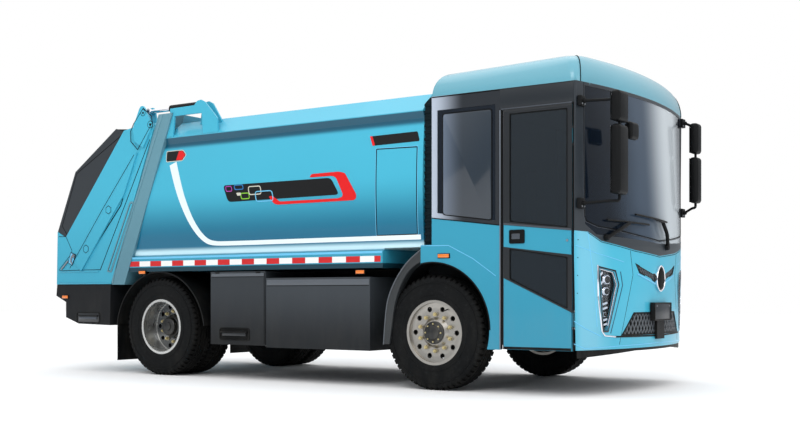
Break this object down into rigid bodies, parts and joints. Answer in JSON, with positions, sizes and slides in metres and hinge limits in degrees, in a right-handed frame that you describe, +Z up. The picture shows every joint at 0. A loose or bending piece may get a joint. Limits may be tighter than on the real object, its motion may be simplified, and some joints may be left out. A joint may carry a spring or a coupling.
{
  "type": "rear loading garbage truck",
  "caption": "Two-axle rear-loading garbage truck with a low bus-like cab, bowed container and lifting tailgate with packer.",
  "frame": {"origin": "on the ground under the middle of the truck's bounding box", "axes": "+X towards the front of the truck, +Y to its left, +Z up"},
  "size_m": [6.978, 2.544, 2.933],
  "materials": {
    "blue_paint": "gloss",
    "roof_paint": "gloss",
    "frame_paint": "satin",
    "dark_paint": "satin",
    "grey_panel": "satin",
    "steel": "satin",
    "rim_alloy": "polished",
    "tyre_rubber": "matte",
    "black_plastic": "matte",
    "trim_plastic": "gloss",
    "lamp_lens": "clear",
    "tail_lens": "gloss",
    "tinted_glass": "tinted",
    "seat_fabric": "woven",
    "cab_trim": "grained",
    "chrome": "polished",
    "iron": "rough"
  },
  "bodies": {
    "chassis": {"chassis_frame": "frame_paint", "leaf_springs": "frame_paint", "front_axle": "iron", "rear_axle": "iron", "engine_block": "iron", "cab_front_panel": "blue_paint", "front_grilles": "black_plastic", "headlamps": "lamp_lens", "bumper_trim": "trim_plastic", "window_surround": "dark_paint", "cab_glass": "tinted_glass", "cab_sides": "blue_paint", "cab_roof": "roof_paint", "cab_floor": "cab_trim", "cab_rear_wall": "dark_paint", "dashboard": "cab_trim", "seats": "seat_fabric", "mirrors": "trim_plastic", "door_hinges": "steel", "container": "blue_paint", "ring_frame": "blue_paint", "roof_guards": "blue_paint", "side_lockers": "grey_panel", "wing_trims": "grey_panel", "rear_fenders": "black_plastic"},
    "door_right": {"door_right": "blue_paint", "door_glass_right": "tinted_glass"},
    "door_left": {"door_left": "blue_paint", "door_glass_left": "tinted_glass"},
    "knuckle_right": {"knuckle_right": "iron"},
    "knuckle_left": {"knuckle_left": "iron"},
    "front_wheel_right": {"front_tyre_right": "tyre_rubber", "front_rim_right": "rim_alloy"},
    "front_wheel_left": {"front_tyre_left": "tyre_rubber", "front_rim_left": "rim_alloy"},
    "rear_wheels_right": {"rear_tyres_right": "tyre_rubber", "rear_rims_right": "rim_alloy"},
    "rear_wheels_left": {"rear_tyres_left": "tyre_rubber", "rear_rims_left": "rim_alloy"},
    "tailgate": {"gate_sides": "blue_paint", "gate_covers": "grey_panel", "gate_trough": "blue_paint", "gate_boxes": "grey_panel", "tail_lamps": "tail_lens"},
    "packer_plate": {"packer_plate": "steel"},
    "packer_blade": {"packer_blade": "steel"},
    "lift_barrels": {"lift_barrels": "frame_paint"},
    "lift_rods": {"lift_rods": "chrome"}
  },
  "joints": [
    {"name": "steer_right", "type": "hinge", "parent": "chassis", "child": "knuckle_right", "pos_m": [1.7015, -0.885, 0.525], "axis": [0, 0, 1], "range_deg": [-35, 35]},
    {"name": "steer_left", "type": "hinge", "parent": "chassis", "child": "knuckle_left", "pos_m": [1.7015, 0.885, 0.525], "axis": [0, 0, 1], "range_deg": [-35, 35]},
    {"name": "spin_front_right", "type": "hinge", "parent": "knuckle_right", "child": "front_wheel_right", "pos_m": [1.7015, -1.085, 0.525], "axis": [0, 1, 0], "continuous": true},
    {"name": "spin_front_left", "type": "hinge", "parent": "knuckle_left", "child": "front_wheel_left", "pos_m": [1.7015, 1.085, 0.525], "axis": [0, 1, 0], "continuous": true},
    {"name": "spin_rear_right", "type": "hinge", "parent": "chassis", "child": "rear_wheels_right", "pos_m": [-1.8155, -1.075, 0.525], "axis": [0, 1, 0], "continuous": true},
    {"name": "spin_rear_left", "type": "hinge", "parent": "chassis", "child": "rear_wheels_left", "pos_m": [-1.8155, 1.075, 0.525], "axis": [0, 1, 0], "continuous": true},
    {"name": "door_right_swing", "type": "hinge", "parent": "chassis", "child": "door_right", "pos_m": [3.1025, -1.238, 1.4], "axis": [0, 0, 1], "range_deg": [0, 75]},
    {"name": "door_left_swing", "type": "hinge", "parent": "chassis", "child": "door_left", "pos_m": [3.1025, 1.238, 1.4], "axis": [0, 0, -1], "range_deg": [0, 75]},
    {"name": "tailgate_lift", "type": "hinge", "parent": "chassis", "child": "tailgate", "pos_m": [-1.9305, 0, 2.699], "axis": [0, 1, 0], "range_deg": [0, 70]},
    {"name": "packer_slide", "type": "slide", "parent": "tailgate", "child": "packer_plate", "axis": [0.6518, 0, 0.7584], "range_m": [0, 0.28]},
    {"name": "packer_sweep", "type": "hinge", "parent": "packer_plate", "child": "packer_blade", "pos_m": [-2.8585, 0, 1.64], "axis": [0, 1, 0], "range_deg": [0, 80]},
    {"name": "lift_tilt", "type": "hinge", "parent": "chassis", "child": "lift_barrels", "pos_m": [-1.2475, 0, 2.885], "axis": [0, 1, 0], "range_deg": [-2, 2]},
    {"name": "lift_stroke", "type": "slide", "parent": "lift_barrels", "child": "lift_rods", "axis": [1, 0, 0], "range_m": [0, 0.2471]}
  ],
  "couplings": [
    {"joint": "steer_left", "follows": "steer_right", "ratio": 1},
    {"joint": "lift_tilt", "follows": "tailgate_lift", "ratio": 0.012},
    {"joint": "lift_stroke", "follows": "tailgate_lift", "m_per_rad": 0.20147}
  ]
}
